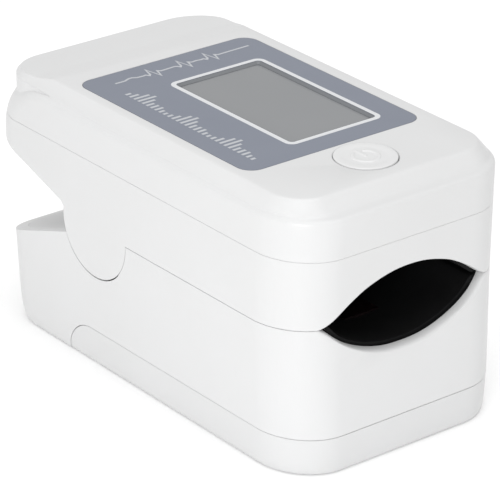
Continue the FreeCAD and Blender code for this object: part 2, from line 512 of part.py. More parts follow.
# screw posts for the frame
SCREW_LOW = [(4.0, 13.30), (4.0, -13.30), (20.5, 13.30), (20.5, -13.30)]
for x, y in SCREW_LOW:
    low = low.fuse(box(x - 1.5, x + 1.5, y - 1.08, y + 1.08, 8.0, 11.8))
for x, y in SCREW_LOW:
    low = low.cut(cyl(x, y, 8.6, 14, 0.55))
low = low.cut(mouth)
low = low.removeSplitter()
save("lower_jaw_shell", low)

# ---------------------------------------------------------------- rear panel on the lower tail
pan = xz_prism([(-28.0, low_z(-28.0)), (-13.32, low_z(-13.32)), (-13.32, low_z(-13.32) - 1.1),
                (-28.0, low_z(-28.0) - 1.1)], -15.5, 15.5)
pan = pan.common(loft(inset(TAIL_ROOM, WALL + 0.02)))
pan = pan.cut(ycyl(PIVOT_X, PIVOT_Z, -16, 16, EAR_R + EAR_CLEAR))
save("rear_top_panel", pan)

# ---------------------------------------------------------------- lower frame with the hinge bosses
rail = box(-7.6, 27.2, 12.30, 14.30, ROOF_TOP + 0.02, 17.20)
rail = rail.cut(ycyl(PIVOT_X, PIVOT_Z, 13.70, 20, EAR_R + EAR_CLEAR))
rail = rail.common(inner_low.fuse(box(-15, 15, 0, 14.35, 10, 30)))
boss = ycyl(PIVOT_X, PIVOT_Z, 12.30, 13.70, 2.90)
web = xz_prism([(-7.6, PIVOT_Z), (-9.4, ROOF_TOP + 0.02), (-2.0, ROOF_TOP + 0.02), (-2.0, 17.2), (-5.2, 19.0)], 12.30, 13.70)
side = rail.fuse([boss, web])
cross = box(-6.4, -1.6, -12.5, 12.5, ROOF_TOP + 0.02, ROOF_TOP + 0.85).cut(ycyl(PIVOT_X, PIVOT_Z, -15, 15, EAR_R + EAR_CLEAR))
frame = side.fuse([side.mirror(V(0, 0, 0), V(0, 1, 0)), box(-3.6, -1.6, -12.5, 12.5, ROOF_TOP + 0.02, ROOF_TOP + 1.2)])
frame = frame.cut(ycyl(PIVOT_X, PIVOT_Z, -20, 20, PIN_R + PIN_RUN))
for x, y in SCREW_LOW:
    frame = frame.cut(cyl(x, y, 10, 20, 0.62)).cut(cyl(x, y, 16.25, 20, 0.96))
frame = frame.cut(eye)
save("lower_pad_frame", frame.removeSplitter())

# ---------------------------------------------------------------- lower finger pad and light sensor
padl = box(PAD_X0, 27.35, -12.26, 12.26, ROOF_TOP + 0.03, 17.58).fuse(
    box(PAD_X0, 27.35, -14.25, 14.25, 17.23, 17.58))
padl = padl.common(loft(inset([(10.0, -28.9, 28.9, 16.0, 5.7, FX, FY), (18.0, -28.9, 28.56, 16.0, 5.7, FX, FY)],
                              WALL + 0.06, FRONT_WALL + 0.04))).cut(eye)
padl = padl.cut(box(12.98, 21.02, -2.52, 2.52, 12, 14)).cut(box(11.4, 22.6, -4.2, 4.2, 12, 12.98))
save("lower_finger_pad", padl.removeSplitter())
save("sensor_window", box(13.0, 21.0, -2.5, 2.5, 13.02, 13.52))
save("sensor_board", box(11.5, 22.5, -4.1, 4.1, ROOF_TOP + 0.02, ROOF_TOP + 0.30))
save("photodiode", box(15.6, 18.4, -1.4, 1.4, ROOF_TOP + 0.30, ROOF_TOP + 0.50))

# ---------------------------------------------------------------- battery cells and contacts
def cell(y, nipple_front):
    x0 = CELL_X0
    c = soften(xcyl(y, CELL_Z, x0, x0 + CELL_LEN, CELL_R), 0.5, lambda e: True)
    if nipple_front:
        return c.fuse(xcyl(y, CELL_Z, x0 + CELL_LEN - 0.1, x0 + CELL_LEN + 1.0, 1.9)).removeSplitter()
    return c.fuse(xcyl(y, CELL_Z, x0 - 1.0, x0 + 0.1, 1.9)).removeSplitter()


save("battery_cells", Part.makeCompound([cell(CELL_Y, True), cell(-CELL_Y, False)]))


def coil(xa, xb, y, z, r0, r1, wire, turns):
    """Compression spring along X from xa to xb, its radius going from r0 to r1."""
    n = int(round(turns * 16))
    rings = []
    for i in range(n + 1):
        f = i / n
        a, r = 2 * math.pi * turns * f, r0 + (r1 - r0) * f
        out = V(0, math.cos(a), math.sin(a))
        run = V((xb - xa) / (2 * math.pi * turns), -r * math.sin(a), r * math.cos(a))
        run.normalize()
        side = run.cross(out)
        side.normalize()
        out = side.cross(run)
        c = V(xa + (xb - xa) * f, y + r * math.cos(a), z + r * math.sin(a))
        ring = Part.Circle(V(0, 0, 0), V(0, 0, 1), wire).toShape()
        ring.Placement = FreeCAD.Placement(c, FreeCAD.Rotation(out, side, run, "ZXY"))
        rings.append(Part.Wire([ring]))
    return Part.makeLoft(rings, True, False)


xe = CELL_X0 + CELL_LEN
springs = [coil(xe + 0.30, BAY_X1 - 0.75, -CELL_Y, CELL_Z, 2.0, 3.4, 0.26, 2.5),
           coil(BAY_X0 + 0.75, CELL_X0 - 0.30, CELL_Y, CELL_Z, 2.2, 2.2, 0.26, 1.75)]
save("battery_spring_contacts", Part.makeCompound(springs))
plates = [box(BAY_X1 - 0.35, BAY_X1 - 0.05, -CELL_Y - 4.2, -CELL_Y + 4.2, 2.6, 10.4),
          box(BAY_X1 - 0.35, BAY_X1 - 0.05, CELL_Y - 4.2, CELL_Y + 4.2, 2.6, 10.4),
          box(BAY_X0 + 0.05, BAY_X0 + 0.35, -CELL_Y - 4.2, CELL_Y + 4.2, 2.6, 10.4)]
bump_f = xcyl(CELL_Y, CELL_Z, xe + 1.02, BAY_X1 - 0.3, 2.2)
bump_r = xcyl(-CELL_Y, CELL_Z, BAY_X0 + 0.3, CELL_X0 - 1.02, 2.2)
save("battery_plate_contacts", Part.makeCompound([plates[0], plates[1].fuse(bump_f).removeSplitter(),
                                                  plates[2].fuse(bump_r).removeSplitter()]))

# ---------------------------------------------------------------- hinge pins
save("hinge_pins", Part.makeCompound(both(ycyl(PIVOT_X, PIVOT_Z, 8.20, 15.18, PIN_R))))


# ---------------------------------------------------------------- torsion springs
def torsion():
    r, wire, turns, y0, y1 = 1.75, 0.32, 3.25, 8.9, 11.6
    path = Part.makeHelix((y1 - y0) / turns, y1 - y0, r)
    prof = Part.Wire([Part.Circle(V(r, 0, 0), V(0, 1, 0), wire).toShape()])
    s = Part.Wire(path.Edges).makePipeShell([prof], True, True)
    s.rotate(V(0, 0, 0), V(1, 0, 0), -90)
    s.translate(V(PIVOT_X, y0, PIVOT_Z))
    return s, r, wire, y0, y1


ts, tr, tw, ty0, ty1 = torsion()
leg1 = Part.makeCylinder(tw, 5.0, V(PIVOT_X + tr, ty0, PIVOT_Z), V(0.70, 0, -0.714))
leg2 = Part.makeCylinder(tw, 5.1, V(PIVOT_X, ty1, PIVOT_Z + tr), V(0.76, 0, 0.65))
sp = Part.makeCompound(both(ts) + both(leg1) + both(leg2))
save("torsion_springs", sp)

# ---------------------------------------------------------------- flat cable between the jaws
w, t = 3.0, 0.15
path = [(-2.6, 25.4), (-2.6, 21.2), (-5.0, 18.6), (-5.0, 16.6), (-3.0, 14.6), (-1.45, 13.9), (-1.45, 12.75)]
left, right = [], []
for i, (x, z) in enumerate(path):
    x0, z0 = path[max(i - 1, 0)]
    x1, z1 = path[min(i + 1, len(path) - 1)]
    d = math.hypot(x1 - x0, z1 - z0)
    nx, nz = -(z1 - z0) / d, (x1 - x0) / d
    left.append((x + nx * t / 2, z + nz * t / 2))
    right.append((x - nx * t / 2, z - nz * t / 2))
save("flex_cable", xz_prism(left + right[::-1], -w, w))

# ---------------------------------------------------------------- frame screws
save("frame_screws", Part.makeCompound([screw(x, y, 16.95, 9.0, 0.9, 0.65, 0.54) for x, y in SCREW_LOW]))
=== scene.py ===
import json
import math
import bpy
import bmesh
from mathutils import Matrix, Vector
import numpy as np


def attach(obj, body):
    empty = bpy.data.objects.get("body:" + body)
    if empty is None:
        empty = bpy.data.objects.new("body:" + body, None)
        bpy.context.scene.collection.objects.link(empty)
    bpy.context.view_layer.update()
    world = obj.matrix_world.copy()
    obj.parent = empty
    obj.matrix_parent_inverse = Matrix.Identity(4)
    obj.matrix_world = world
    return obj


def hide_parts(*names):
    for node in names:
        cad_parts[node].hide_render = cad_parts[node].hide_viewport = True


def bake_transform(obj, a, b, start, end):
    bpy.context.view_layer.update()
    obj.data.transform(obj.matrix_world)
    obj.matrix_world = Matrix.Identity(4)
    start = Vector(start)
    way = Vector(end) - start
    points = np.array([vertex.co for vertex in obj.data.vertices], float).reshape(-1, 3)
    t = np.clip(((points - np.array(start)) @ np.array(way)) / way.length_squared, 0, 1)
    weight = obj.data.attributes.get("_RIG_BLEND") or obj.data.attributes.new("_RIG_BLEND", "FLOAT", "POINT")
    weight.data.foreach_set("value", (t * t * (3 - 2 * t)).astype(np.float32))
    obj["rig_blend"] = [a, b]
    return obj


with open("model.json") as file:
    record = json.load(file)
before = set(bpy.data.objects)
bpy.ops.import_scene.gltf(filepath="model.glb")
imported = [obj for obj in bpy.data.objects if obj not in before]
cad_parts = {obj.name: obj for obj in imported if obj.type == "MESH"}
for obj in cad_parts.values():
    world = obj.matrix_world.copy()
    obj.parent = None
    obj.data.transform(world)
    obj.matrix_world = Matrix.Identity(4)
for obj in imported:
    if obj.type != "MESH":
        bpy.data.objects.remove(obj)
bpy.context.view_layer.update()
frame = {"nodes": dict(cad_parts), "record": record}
MM = 0.001
scene = bpy.context.scene


# ------------------------------------------------------------------ camera
def make_camera():
    yaw, pitch, roll = math.radians(51.221), math.radians(25.254), math.radians(0.6855)
    back = Vector((math.sin(yaw) * math.cos(pitch), -math.cos(yaw) * math.cos(pitch), math.sin(pitch)))
    right = Vector((math.cos(yaw), math.sin(yaw), 0.0))
    up = back.cross(right)
    c, s = math.cos(roll), math.sin(roll)
    r2, u2 = c * right + s * up, -s * right + c * up
    m = Matrix((
        (r2.x, u2.x, back.x, 0.268460),
        (r2.y, u2.y, back.y, -0.214873),
        (r2.z, u2.z, back.z, 0.175654),
        (0, 0, 0, 1)))
    data = bpy.data.cameras.new("camera")
    data.sensor_width = 36.0
    data.lens = 3271.64 * 36.0 / 500.0
    data.clip_start = 0.01
    data.clip_end = 20.0
    cam = bpy.data.objects.new("camera", data)
    scene.collection.objects.link(cam)
    cam.matrix_world = m
    scene.camera = cam
    return cam


make_camera()


# ------------------------------------------------------------------ node material helpers
class Mat:
    """A small builder for procedural materials on object coordinates, which are metres in the row frame."""

    def __init__(self, name):
        self.m = bpy.data.materials.new(name)
        self.m.use_nodes = True
        self.t = self.m.node_tree
        self.t.nodes.clear()
        self.out = self.t.nodes.new("ShaderNodeOutputMaterial")
        self.p = self.t.nodes.new("ShaderNodeBsdfPrincipled")
        self.t.links.new(self.p.outputs["BSDF"], self.out.inputs["Surface"])
        self.co = self.t.nodes.new("ShaderNodeTexCoord").outputs["Object"]
        self.height = None

    def set(self, **kw):
        for k, v in kw.items():
            self.p.inputs[k.replace("_", " ")].default_value = v
        return self

    def node(self, kind, **kw):
        n = self.t.nodes.new(kind)
        for k, v in kw.items():
            setattr(n, k, v)
        return n

    def link(self, a, b):
        self.t.links.new(a, b)

    def noise(self, scale, detail=2.0, rough=0.5, stretch=None):
        n = self.node("ShaderNodeTexNoise")
        n.inputs["Scale"].default_value = scale
        n.inputs["Detail"].default_value = detail
        n.inputs["Roughness"].default_value = rough
        if stretch:
            mp = self.node("ShaderNodeMapping")
            mp.inputs["Scale"].default_value = stretch
            self.link(self.co, mp.inputs["Vector"])
            self.link(mp.outputs["Vector"], n.inputs["Vector"])
        else:
            self.link(self.co, n.inputs["Vector"])
        return n.outputs["Fac"]

    def voronoi(self, scale, feature="F1"):
        n = self.node("ShaderNodeTexVoronoi", feature=feature)
        n.inputs["Scale"].default_value = scale
        self.link(self.co, n.inputs["Vector"])
        return n.outputs["Distance"]

    def ramp(self, fac, stops):
        n = self.node("ShaderNodeValToRGB")
        e = n.color_ramp.elements
        while len(e) < len(stops):
            e.new(0.5)
        for el, (pos, col) in zip(e, stops):
            el.position = pos
            el.color = (*col, 1) if len(col) == 3 else col
        self.link(fac, n.inputs["Fac"])
        return n.outputs["Color"]

    def span(self, fac, lo, hi, a=0.0, b=1.0):
        n = self.node("ShaderNodeMapRange")
        n.inputs["From Min"].default_value = a
        n.inputs["From Max"].default_value = b
        n.inputs["To Min"].default_value = lo
        n.inputs["To Max"].default_value = hi
        self.link(fac, n.inputs["Value"])
        return n.outputs["Result"]

    def math(self, op, a, b):
        n = self.node("ShaderNodeMath", operation=op)
        for i, v in enumerate((a, b)):
            if isinstance(v, (int, float)):
                n.inputs[i].default_value = v
            else:
                self.link(v, n.inputs[i])
        return n.outputs[0]

    def mix(self, fac, a, b, blend="MIX"):
        n = self.node("ShaderNodeMix", data_type="RGBA", blend_type=blend)
        for s, v in ((n.inputs[0], fac), (n.inputs[6], a), (n.inputs[7], b)):
            if isinstance(v, (int, float)):
                s.default_value = v
            elif isinstance(v, tuple):
                s.default_value = (*v, 1) if len(v) == 3 else v
            else:
                self.link(v, s)
        return n.outputs[2]

    def color(self, sock):
        self.link(sock, self.p.inputs["Base Color"])
        return self

    def rough(self, sock):
        self.link(sock, self.p.inputs["Roughness"])
        return self

    def bump(self, layers, edge=0.0):
        """layers: (height socket, depth in metres). edge: radius in metres by which sharp edges look eased."""
        normal = None
        if edge > 0:
            b = self.node("ShaderNodeBevel")
            b.samples = 6
            b.inputs["Radius"].default_value = edge
            normal = b.outputs["Normal"]
        for sock, depth in layers:
            n = self.node("ShaderNodeBump")
            n.inputs["Strength"].default_value = 1.0
            n.inputs["Distance"].default_value = depth
            self.link(sock, n.inputs["Height"])
            if normal:
                self.link(normal, n.inputs["Normal"])
            normal = n.outputs["Normal"]
        if normal:
            self.link(normal, self.p.inputs["Normal"])
        return self


def moulded_plastic(name, base, rough=0.34, grain=0.0000035, edge=0.00012, warm=0.012, sss=0.0):
    """Injection-moulded plastic: fine spark-eroded grain, slow tone drift, faint flow marks."""
    m = Mat(name)
    drift = m.noise(55.0, 3.0, 0.55)
    fine = m.noise(9000.0, 2.0, 0.6)
    r, g, b = base
    lo = (r * (1 - warm), g * (1 - warm), b * (1 - 1.4 * warm))
    hi = (min(r * (1 + warm), 1), min(g * (1 + warm), 1), min(b * (1 + warm), 1))
    m.color(m.ramp(drift, [(0.3, lo), (0.7, hi)]))
    m.rough(m.span(m.noise(160.0, 3.0, 0.6), rough - 0.05, rough + 0.05))
    cell = m.voronoi(5200.0)
    waves = m.noise(38.0, 1.0, 0.4)
    m.bump([(waves, 0.00002), (cell, grain), (fine, grain * 0.7)], edge=edge)
    m.set(IOR=1.50)
    if sss:
        m.p.inputs["Subsurface Weight"].default_value = sss
        m.p.inputs["Subsurface Radius"].default_value = (1.0, 0.9, 0.8)
        m.p.inputs["Subsurface Scale"].default_value = 0.0012
    return m.m


def silicone(name, base):
    m = Mat(name)
    dust = m.noise(700.0, 5.0, 0.7)
    fine = m.voronoi(7000.0)
    r, g, b = base
    m.color(m.ramp(dust, [(0.35, base), (0.75, (r * 1.5, g * 1.5, b * 1.5))]))
    m.rough(m.span(m.noise(300.0, 4.0, 0.6), 0.62, 0.82))
    m.bump([(m.noise(60.0, 1.0, 0.5), 0.00003), (fine, 0.000008)], edge=0.0001)
    m.set(IOR=1.42, Specular_IOR_Level=0.25)
    return m.m


def printed_film(name, base):
    """Screen-printed polyester film: nearly even ink with a fine leather-like matt texture."""
    m = Mat(name)
    r, g, b = base
    tone = m.noise(70.0, 2.0, 0.5)
    speck = m.noise(6500.0, 2.0, 0.7)
    col = m.ramp(tone, [(0.3, (r * 0.97, g * 0.97, b * 0.975)), (0.7, (r * 1.03, g * 1.03, b * 1.025))])
    m.color(m.mix(m.span(speck, 0.0, 0.10), col, (r * 1.25, g * 1.25, b * 1.22)))
    m.rough(m.span(m.noise(250.0, 3.0, 0.6), 0.30, 0.42))
    m.bump([(m.noise(45.0, 1.0, 0.4), 0.00001), (speck, 0.0000015)], edge=0.00005)
    m.set(IOR=1.57)
    return m.m


def ink(name, base):
    m = Mat(name)
    r, g, b = base
    m.color(m.ramp(m.noise(2500.0, 3.0, 0.6), [(0.3, (r * 0.96, g * 0.96, b * 0.96)), (0.7, base)]))
    m.rough(m.span(m.noise(900.0, 2.0, 0.5), 0.38, 0.52))
    m.bump([(m.noise(5000.0, 2.0, 0.6), 0.000003)])
    return m.m


def display_lens(name):
    """Polycarbonate window: a hard-coated sheet over the sleeping screen, with painted shade along its far, front and
    rear edges.
    """
    m = Mat(name)
    sep = m.node("ShaderNodeSeparateXYZ")
    m.link(m.co, sep.inputs["Vector"])
    x0, x1, y1 = -8.25 * MM, 12.95 * MM, 8.45 * MM
    # painted shade: darker bands along the far (+Y), front (+X) and rear (-X) edges stand in for the shadow of the
    # sunken window's walls
    far_painted_shade = m.span(sep.outputs["Y"], 0.0, 1.0, y1 - 0.95 * MM, y1 - 0.45 * MM)
    near_painted_shade = m.span(sep.outputs["X"], 0.0, 1.0, x1 - 0.55 * MM, x1 - 0.25 * MM)
    back = m.span(sep.outputs["X"], 0.6, 0.0, x0 + 0.15 * MM, x0 + 0.60 * MM)
    edge = m.math("MAXIMUM", m.math("MAXIMUM", far_painted_shade, near_painted_shade), back)
    face = m.ramp(m.noise(60.0, 2.0, 0.5), [(0.3, (0.178, 0.186, 0.194)), (0.7, (0.192, 0.200, 0.208))])
    # the window face is darkened to the painted shade colour inside those bands
    m.color(m.mix(edge, face, (0.128, 0.135, 0.146)))
    m.rough(m.span(m.noise(180.0, 3.0, 0.6), 0.16, 0.24))
    m.bump([(m.noise(50.0, 1.0, 0.4), 0.000008)], edge=0.00008)
    m.set(IOR=1.58, Coat_Weight=0.35, Coat_Roughness=0.06)
    return m.m


def metal(name, base, rough, brushed=False):
    m = Mat(name)
    r, g, b = base
    n = m.noise(900.0, 4.0, 0.6, stretch=(1, 1, 14) if brushed else None)
    m.color(m.ramp(n, [(0.3, (r * 0.88, g * 0.88, b * 0.88)), (0.7, base)]))
    m.rough(m.span(n, rough - 0.06, rough + 0.08))
    m.bump([(n, 0.000006)], edge=0.00005)
    m.set(Metallic=1.0)
    return m.m


def circuit_board(name):
    m = Mat(name)
    tracks = m.node("ShaderNodeTexBrick")
    tracks.inputs["Scale"].default_value = 420.0
    tracks.inputs["Mortar Size"].default_value = 0.03
    tracks.inputs["Color1"].default_value = (0.010, 0.115, 0.045, 1)
    tracks.inputs["Color2"].default_value = (0.013, 0.135, 0.055, 1)
    tracks.inputs["Mortar"].default_value = (0.030, 0.20, 0.085, 1)
    m.link(m.co, tracks.inputs["Vector"])
    m.color(tracks.outputs["Color"])
    m.rough(m.span(m.noise(800.0, 3.0, 0.6), 0.25, 0.4))
    m.bump([(tracks.outputs["Fac"], 0.00002)])
    return m.m


def chip_plastic(name):
    m = Mat(name)
    n = m.noise(6000.0, 3.0, 0.7)
    m.color(m.ramp(n, [(0.3, (0.012, 0.012, 0.013)), (0.7, (0.030, 0.030, 0.032))]))
    m.rough(m.span(n, 0.45, 0.6))
    m.bump([(n, 0.00001)])
    return m.m


def clear_epoxy(name, base):
    m = Mat(name)
    r, g, b = base
    m.color(m.ramp(m.noise(500.0, 2.0, 0.5), [(0.3, (r * 0.92, g * 0.92, b * 0.92)), (0.7, base)]))
    m.rough(m.span(m.noise(400.0, 2.0, 0.5), 0.08, 0.16))
    m.bump([(m.noise(700.0, 1.0, 0.5), 0.000006)])
    m.set(IOR=1.54, Transmission_Weight=0.35)
    return m.m


def cell_sleeve(name):
    """Heat-shrunk battery sleeve: dark body with one plain copper-toned band, no print."""
    m = Mat(name)
    sx = m.node("ShaderNodeSeparateXYZ")
    m.link(m.co, sx.inputs["Vector"])
    band = m.ramp(m.span(sx.outputs["X"], 0, 1, -0.0204, 0.0251),
                  [(0.0, (0.55, 0.56, 0.58)), (0.03, (0.55, 0.56, 0.58)), (0.035, (0.045, 0.048, 0.06)),
                   (0.66, (0.045, 0.048, 0.06)), (0.665, (0.50, 0.25, 0.10)), (0.955, (0.50, 0.25, 0.10)),
                   (0.96, (0.6, 0.6, 0.62))])
    m.color(m.mix(m.span(m.noise(1500.0, 3.0, 0.6), 0.0, 0.12), band, (0.9, 0.9, 0.9)))
    m.rough(m.span(m.noise(300.0, 3.0, 0.6), 0.22, 0.38))
    m.bump([(m.noise(120.0, 2.0, 0.5), 0.00002)])
    m.set(Coat_Weight=0.4, Coat_Roughness=0.12)
    return m.m


def film_cable(name):
    m = Mat(name)
    w = m.node("ShaderNodeTexWave", wave_type="BANDS", bands_direction="Y")
    w.inputs["Scale"].default_value = 620.0
    m.link(m.co, w.inputs["Vector"])
    m.color(m.ramp(w.outputs["Fac"], [(0.35, (0.42, 0.17, 0.030)), (0.65, (0.62, 0.33, 0.08))]))
    m.rough(m.span(m.noise(400.0, 2.0, 0.5), 0.25, 0.4))
    m.bump([(w.outputs["Fac"], 0.00001)])
    return m.m


BODY = (0.640, 0.642, 0.645)
M = {
    "white_shell": moulded_plastic("shell_plastic", BODY),
    "white_cover": moulded_plastic("cover_plastic", (0.630, 0.632, 0.635)),
    "white_button": moulded_plastic("button_plastic", (0.672, 0.674, 0.677), rough=0.30, grain=0.0000015, edge=0.00006),
    "white_frame": moulded_plastic("frame_plastic", (0.65, 0.652, 0.655), rough=0.42),
    "grey_print": printed_film("label_film", (0.166, 0.184, 0.231)),
    "clear_window": display_lens("display_lens"),
    "sensor_lens": clear_epoxy("sensor_lens", (0.016, 0.009, 0.010)),
    "screen_glass": display_lens("screen_glass"),
    "circuit_board": circuit_board("board"),
    "black_plastic": chip_plastic("chip_plastic"),
    "black_silicone": silicone("pad_silicone", (0.0032, 0.0032, 0.0034)),
    "led_lens": clear_epoxy("led_epoxy", (0.85, 0.82, 0.78)),
    "steel": metal("steel", (0.60, 0.60, 0.61), 0.32, True),
    "spring_steel": metal("spring_wire", (0.52, 0.52, 0.53), 0.28, True),
    "nickel": metal("nickel", (0.70, 0.68, 0.63), 0.22),
    "cell_wrap": cell_sleeve("cell_sleeve"),
    "amber_film": film_cable("cable_film"),
    "window_rim": printed_film("window_rim_paint", (0.150, 0.158, 0.170)),
    "print_white": ink("print_white", (0.66, 0.67, 0.685)),
    "print_line": ink("print_line", (0.47, 0.485, 0.51)),
}

SLOT = {s["node"]: s["material_slot"] for s in frame["record"]["subparts"]}
BODY_OF = {}
for b, members in frame["record"]["behaviour"]["bodies"].items():
    for n in members:
        BODY_OF[n] = b


def paint(obj, mat):
    obj.data.materials.clear()
    obj.data.materials.append(mat)


def material_for(node):
    if node in ("sensor_window", "emitter_window"):
        return M["sensor_lens"]
    return M[SLOT[node]]


def skin(node, angle=27.0, mat=None):
    """A welded copy of a node's surface, shaded smoothly across its seams and sharp only at real edges."""
    src = frame["nodes"][node]
    me = bpy.data.meshes.new(node + "_surface")
    bm = bmesh.new()
    bm.from_mesh(src.data)
    bmesh.ops.remove_doubles(bm, verts=bm.verts, dist=0.0000025)
    bmesh.ops.dissolve_degenerate(bm, dist=0.0000005, edges=bm.edges)
    lim = math.radians(angle)
    for f in bm.faces:
        f.smooth = True
    for e in bm.edges:
        e.smooth = not (len(e.link_faces) != 2 or e.calc_face_angle(0.0) > lim)
    bm.to_mesh(me)
    bm.free()
    for a in list(me.attributes):
        if a.name in ("custom_normal",):
            me.attributes.remove(a)
    me.update()
    o = bpy.data.objects.new(node + "_surface", me)
    scene.collection.objects.link(o)
    paint(o, mat or material_for(node))
    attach(o, BODY_OF[node])
    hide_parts(node)
    return o


SKINNED = ["top_cover", "upper_jaw_shell", "lower_jaw_shell", "battery_cover", "rear_top_panel",
           "display_label", "display_window", "upper_finger_pad", "lower_finger_pad", "lower_pad_frame",
           "battery_cells", "torsion_springs", "battery_spring_contacts", "battery_plate_contacts", "hinge_pins",
           "cover_screws", "frame_screws"]
for node in frame["nodes"]:
    if node in SKINNED:
        skin(node)
    else:
        paint(frame["nodes"][node], material_for(node))


# ------------------------------------------------------------------ print on the label
TOP = 32.5


def new_piece(name, bm, mat, body):
    me = bpy.data.meshes.new(name)
    bm.normal_update()
    bm.to_mesh(me)
    bm.free()
    o = bpy.data.objects.new(name, me)
    scene.collection.objects.link(o)
    paint(o, mat)
    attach(o, body)
    return o


def rounded_loop(x0, x1, y0, y1, r, n=10):
    pts = []
    for cx, cy, a0 in ((x1 - r, y1 - r, 0), (x0 + r, y1 - r, 90), (x0 + r, y0 + r, 180), (x1 - r, y0 + r, 270)):
        for i in range(n + 1):
            a = math.radians(a0 + 90.0 * i / n)
            pts.append((cx + r * math.cos(a), cy + r * math.sin(a)))
    return pts


def add_band(bm, outer, inner, z0, z1):
    """A flat closed band between two loops of the same length."""
    n = len(outer)
    v = [[bm.verts.new((x * MM, y * MM, z * MM)) for x, y in loop] for loop, z in
         ((outer, z0), (outer, z1), (inner, z1), (inner, z0))]
    for i in range(n):
        j = (i + 1) % n
        for k in range(4):
            a, b = v[k], v[(k + 1) % 4]
            bm.faces.new((a[i], a[j], b[j], b[i]))


def stroke_outline(pts, w):
    """Left and right sides of a line of width w with mitred corners."""
    left, right = [], []
    for i, p in enumerate(pts):
        p = Vector(p)
        a = Vector(pts[i - 1]) if i else None
        b = Vector(pts[i + 1]) if i + 1 < len(pts) else None
        d1 = (p - a).normalized() if a else (b - p).normalized()
        d2 = (b - p).normalized() if b else d1
        t = (d1 + d2)
        t = t.normalized() if t.length > 1e-6 else d1
        nrm = Vector((-t.y, t.x))
        k = 1.0 / max(0.45, abs(nrm.dot(Vector((-d1.y, d1.x)))))
        left.append(p + nrm * (w / 2 * k))
        right.append(p - nrm * (w / 2 * k))
    return left, right


def add_stroke(bm, pts, w, z0, z1):
    left, right = stroke_outline(pts, w)
    rings = []
    for a, b in zip(left, right):
        rings.append([bm.verts.new((q.x * MM, q.y * MM, z * MM)) for q, z in ((a, z0), (a, z1), (b, z1), (b, z0))])
    for r0, r1 in zip(rings, rings[1:]):
        for k in range(4):
            bm.faces.new((r0[k], r0[(k + 1) % 4], r1[(k + 1) % 4], r1[k]))
    bm.faces.new(rings[0][::-1])
    bm.faces.new(rings[-1])


PRINT_LO, PRINT_HI = TOP - 0.01, TOP + 0.02
bm = bmesh.new()
add_band(bm, rounded_loop(-8.85, 13.55, -4.55, 9.05, 1.05), rounded_loop(-8.27, 12.97, -3.97, 8.47, 0.55), PRINT_LO, PRINT_HI)
new_piece("window_frame_print", bm, M["print_white"], "upper_jaw")


# a pulse trace across the rear of the label: base line along Y, three beats
def beat(y):
    return [(-12.45, y - 1.0), (-12.05, y - 0.72), (-12.35, y - 0.45), (-13.75, y - 0.08), (-11.35, y + 0.42), (-12.75, y + 0.86),
            (-12.45, y + 1.2)]


trace = [(-12.45, -9.3), (-12.45, -7.9), (-12.75, -7.2), (-12.75, -6.7), (-12.45, -6.2), (-12.40, -5.4)]
trace += beat(-3.95)
trace += [(-12.5, -1.6), (-12.55, -0.75)]
trace += beat(0.55)
trace += [(-12.5, 2.5), (-12.4, 3.1)]
trace += beat(4.45)
trace += [(-12.5, 7.4), (-12.55, 10.3)]
clean = [trace[0]]
for q in trace[1:]:
    if q[1] > clean[-1][1] + 0.03:
        clean.append(q)
bm = bmesh.new()
add_stroke(bm, clean, 0.27, PRINT_LO, PRINT_HI)
new_piece("pulse_trace_print", bm, M["print_line"], "upper_jaw")

# a plain row of pulse bars along the side of the label
bm = bmesh.new()
for i in range(30):
    x = -9.05 + 0.79 * i
    f = (i % 10) / 10.0
    h = 0.62 + 1.95 * math.exp(-((f - 0.28) / 0.17) ** 2) + 0.62 * math.exp(-((f - 0.66) / 0.12) ** 2)
    add_stroke(bm, [(x, -10.35), (x, -10.35 + h)], 0.37, PRINT_LO, PRINT_HI)
new_piece("pulse_bars_print", bm, M["print_line"], "upper_jaw")

# a sloping rim between the printed frame and the sunken window
bm = bmesh.new()
rim_out, rim_in = rounded_loop(-8.225, 12.925, -3.925, 8.425, 0.45), rounded_loop(-7.83, 12.53, -3.53, 8.03, 0.20)
loops = [[bm.verts.new((x * MM, y * MM, z * MM)) for x, y in loop] for loop, z in
         ((rim_out, 32.204), (rim_out, 32.475), (rim_in, 32.222), (rim_in, 32.204))]
for i in range(len(rim_out)):
    j = (i + 1) % len(rim_out)
    for k in range(4):
        a, b = loops[k], loops[(k + 1) % 4]
        bm.faces.new((a[i], a[j], b[j], b[i]))
new_piece("window_rim", bm, M["window_rim"], "upper_jaw")


# ------------------------------------------------------------------ power button: a turned cap with a raised symbol
def smoothstep(a, b, v):
    t = min(1.0, max(0.0, (v - a) / (b - a)))
    return t * t * (3 - 2 * t)


def symbol_distance(x, y):
    """Distance to the centre line of the on symbol: an open ring and a bar towards the rear."""
    r, a = math.hypot(x, y), math.atan2(y, -x)
    open_half = math.radians(31)
    if abs(a) >= open_half:
        ring = abs(r - 1.48)
    else:
        ex, ey = -1.48 * math.cos(open_half), 1.48 * math.sin(open_half)
        ring = min(math.hypot(x - ex, y - ey), math.hypot(x - ex, y + ey))
    bx = min(-0.10, max(-1.72, x))
    return min(ring, math.hypot(x - bx, y))


